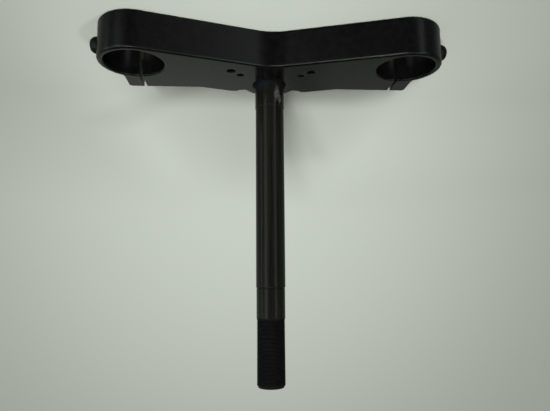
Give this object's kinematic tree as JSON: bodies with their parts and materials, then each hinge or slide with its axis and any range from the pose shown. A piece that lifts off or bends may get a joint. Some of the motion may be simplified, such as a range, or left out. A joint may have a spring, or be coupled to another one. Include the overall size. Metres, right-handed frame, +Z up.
{
  "type": "motorcycle triple clamp",
  "caption": "Lower fork clamp: a black machined plate with split fork bores at its ends and a long steering stem standing on it.",
  "frame": {"origin": "on the steering axis, level with the plate's top face, where the lower bearing seat starts", "axes": "+Z up the steering stem, -Y to the front where the fork bores are, +X to the rider's left"},
  "size_m": [0.2982, 0.0949, 0.2986],
  "materials": {
    "plate_black": "satin black anodised, milled from plate",
    "stem_black": "black oxide, turned",
    "screw_black": "black oxide"
  },
  "bodies": {
    "root": {"clamp_plate": "plate_black", "steering_stem": "stem_black", "pinch_bolt_left": "screw_black", "pinch_bolt_right": "screw_black", "side_screw_left": "screw_black", "side_screw_right": "screw_black"}
  },
  "joints": []
}
